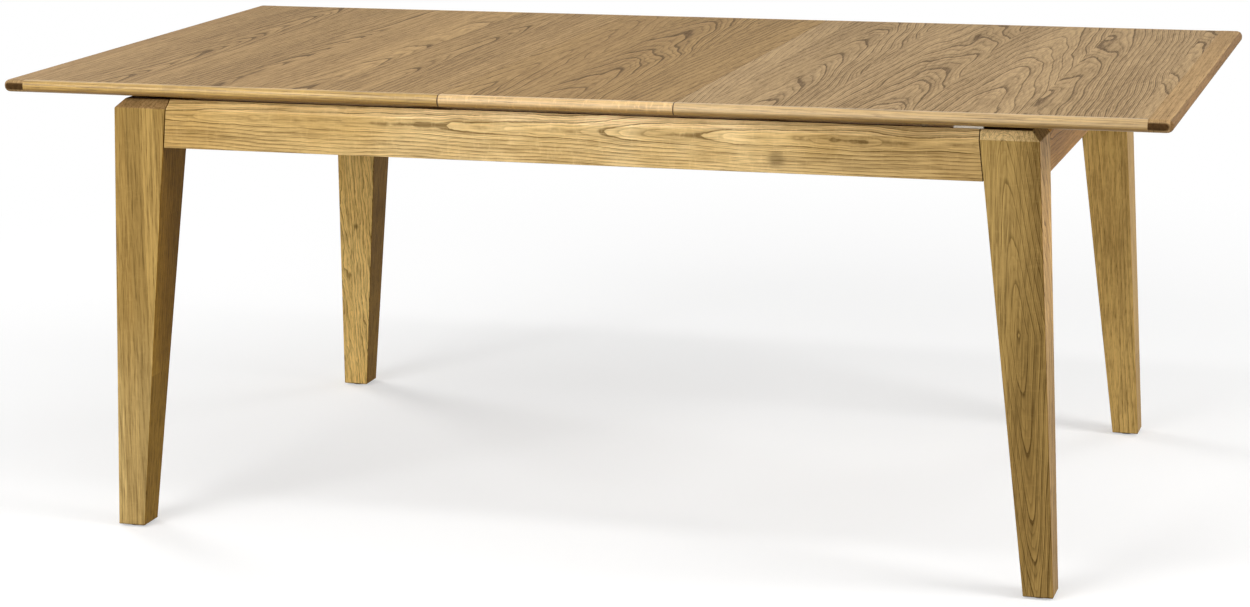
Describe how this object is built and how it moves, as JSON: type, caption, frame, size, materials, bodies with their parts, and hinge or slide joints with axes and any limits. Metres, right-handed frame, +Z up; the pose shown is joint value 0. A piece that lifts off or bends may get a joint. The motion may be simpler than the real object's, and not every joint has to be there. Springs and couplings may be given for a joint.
{
  "type": "extending dining table",
  "caption": "Rectangular oak dining table on tapered legs; the two halves of its top slide apart on runners over a fixed frame to take a loose middle leaf",
  "frame": {"origin": "floor level under the middle of the table", "axes": "+X along the length to the right seen from the front, +Y to the back, +Z up; the front long side faces -Y"},
  "size_m": [1.94, 1, 0.76],
  "materials": {
    "oak": "satin oiled oak, grain along each piece",
    "oak_veneer": "satin lacquered oak veneer, grain across the table",
    "beech": "plain planed beech",
    "zinc_steel": "bright zinc plate",
    "plate_steel": "brushed bare steel",
    "dark_steel": "blackened steel",
    "nylon": "natural nylon",
    "felt": "dense felt"
  },
  "bodies": {
    "frame": {"apron_back": "oak", "apron_front": "oak", "apron_left": "oak", "apron_right": "oak", "axle_nut": "zinc_steel", "bridge_screws": "zinc_steel", "corner_block_back_left": "beech", "corner_block_back_right": "beech", "corner_block_front_left": "beech", "corner_block_front_right": "beech", "cross_rail_left": "beech", "cross_rail_right": "beech", "foot_glides": "felt", "guide_rail_back": "beech", "guide_rail_front": "beech", "guide_screws": "zinc_steel", "leg_back_left": "oak", "leg_back_right": "oak", "leg_bolts": "zinc_steel", "leg_front_left": "oak", "leg_front_right": "oak", "leg_nuts": "zinc_steel", "leg_washers": "zinc_steel", "pinion_axle": "zinc_steel", "pinion_bridge": "beech", "stop_plate_back": "plate_steel", "stop_plate_front": "plate_steel", "stop_plate_screws": "zinc_steel"},
    "left_top": {"left_lipping_back": "oak", "left_lipping_end": "oak", "left_lipping_front": "oak", "left_panel": "oak_veneer", "left_rack": "nylon", "left_rack_screws": "zinc_steel", "left_slider_inner": "beech", "left_slider_outer": "beech", "left_slider_screws": "zinc_steel", "left_stop_peg": "dark_steel"},
    "right_top": {"right_lipping_back": "oak", "right_lipping_end": "oak", "right_lipping_front": "oak", "right_panel": "oak_veneer", "right_rack": "nylon", "right_rack_screws": "zinc_steel", "right_slider_inner": "beech", "right_slider_outer": "beech", "right_slider_screws": "zinc_steel", "right_stop_peg": "dark_steel"},
    "leaf": {"leaf_batten_back": "beech", "leaf_batten_front": "beech", "leaf_batten_screws": "zinc_steel", "leaf_lipping_back": "oak", "leaf_lipping_front": "oak", "leaf_panel": "oak_veneer"},
    "pinion": {"pinion": "nylon"}
  },
  "joints": [
    {"name": "left_half_slide", "type": "slide", "parent": "frame", "child": "left_top", "axis": [-1, 0, 0], "range_m": [0, 0.04]},
    {"name": "right_half_slide", "type": "slide", "parent": "frame", "child": "right_top", "axis": [1, 0, 0], "range_m": [0, 0.04]},
    {"name": "pinion_turn", "type": "hinge", "parent": "frame", "child": "pinion", "pos_m": [0, 0, 0.73], "axis": [0, 0, -1], "range_deg": [0, 90.5]},
    {"name": "leaf_lift", "type": "slide", "parent": "frame", "child": "leaf", "axis": [0, 0, 1], "range_m": [0, 0.25]}
  ],
  "couplings": [
    {"joint": "right_half_slide", "follows": "left_half_slide", "ratio": 1},
    {"joint": "pinion_turn", "follows": "left_half_slide", "rad_per_m": 39.27}
  ]
}
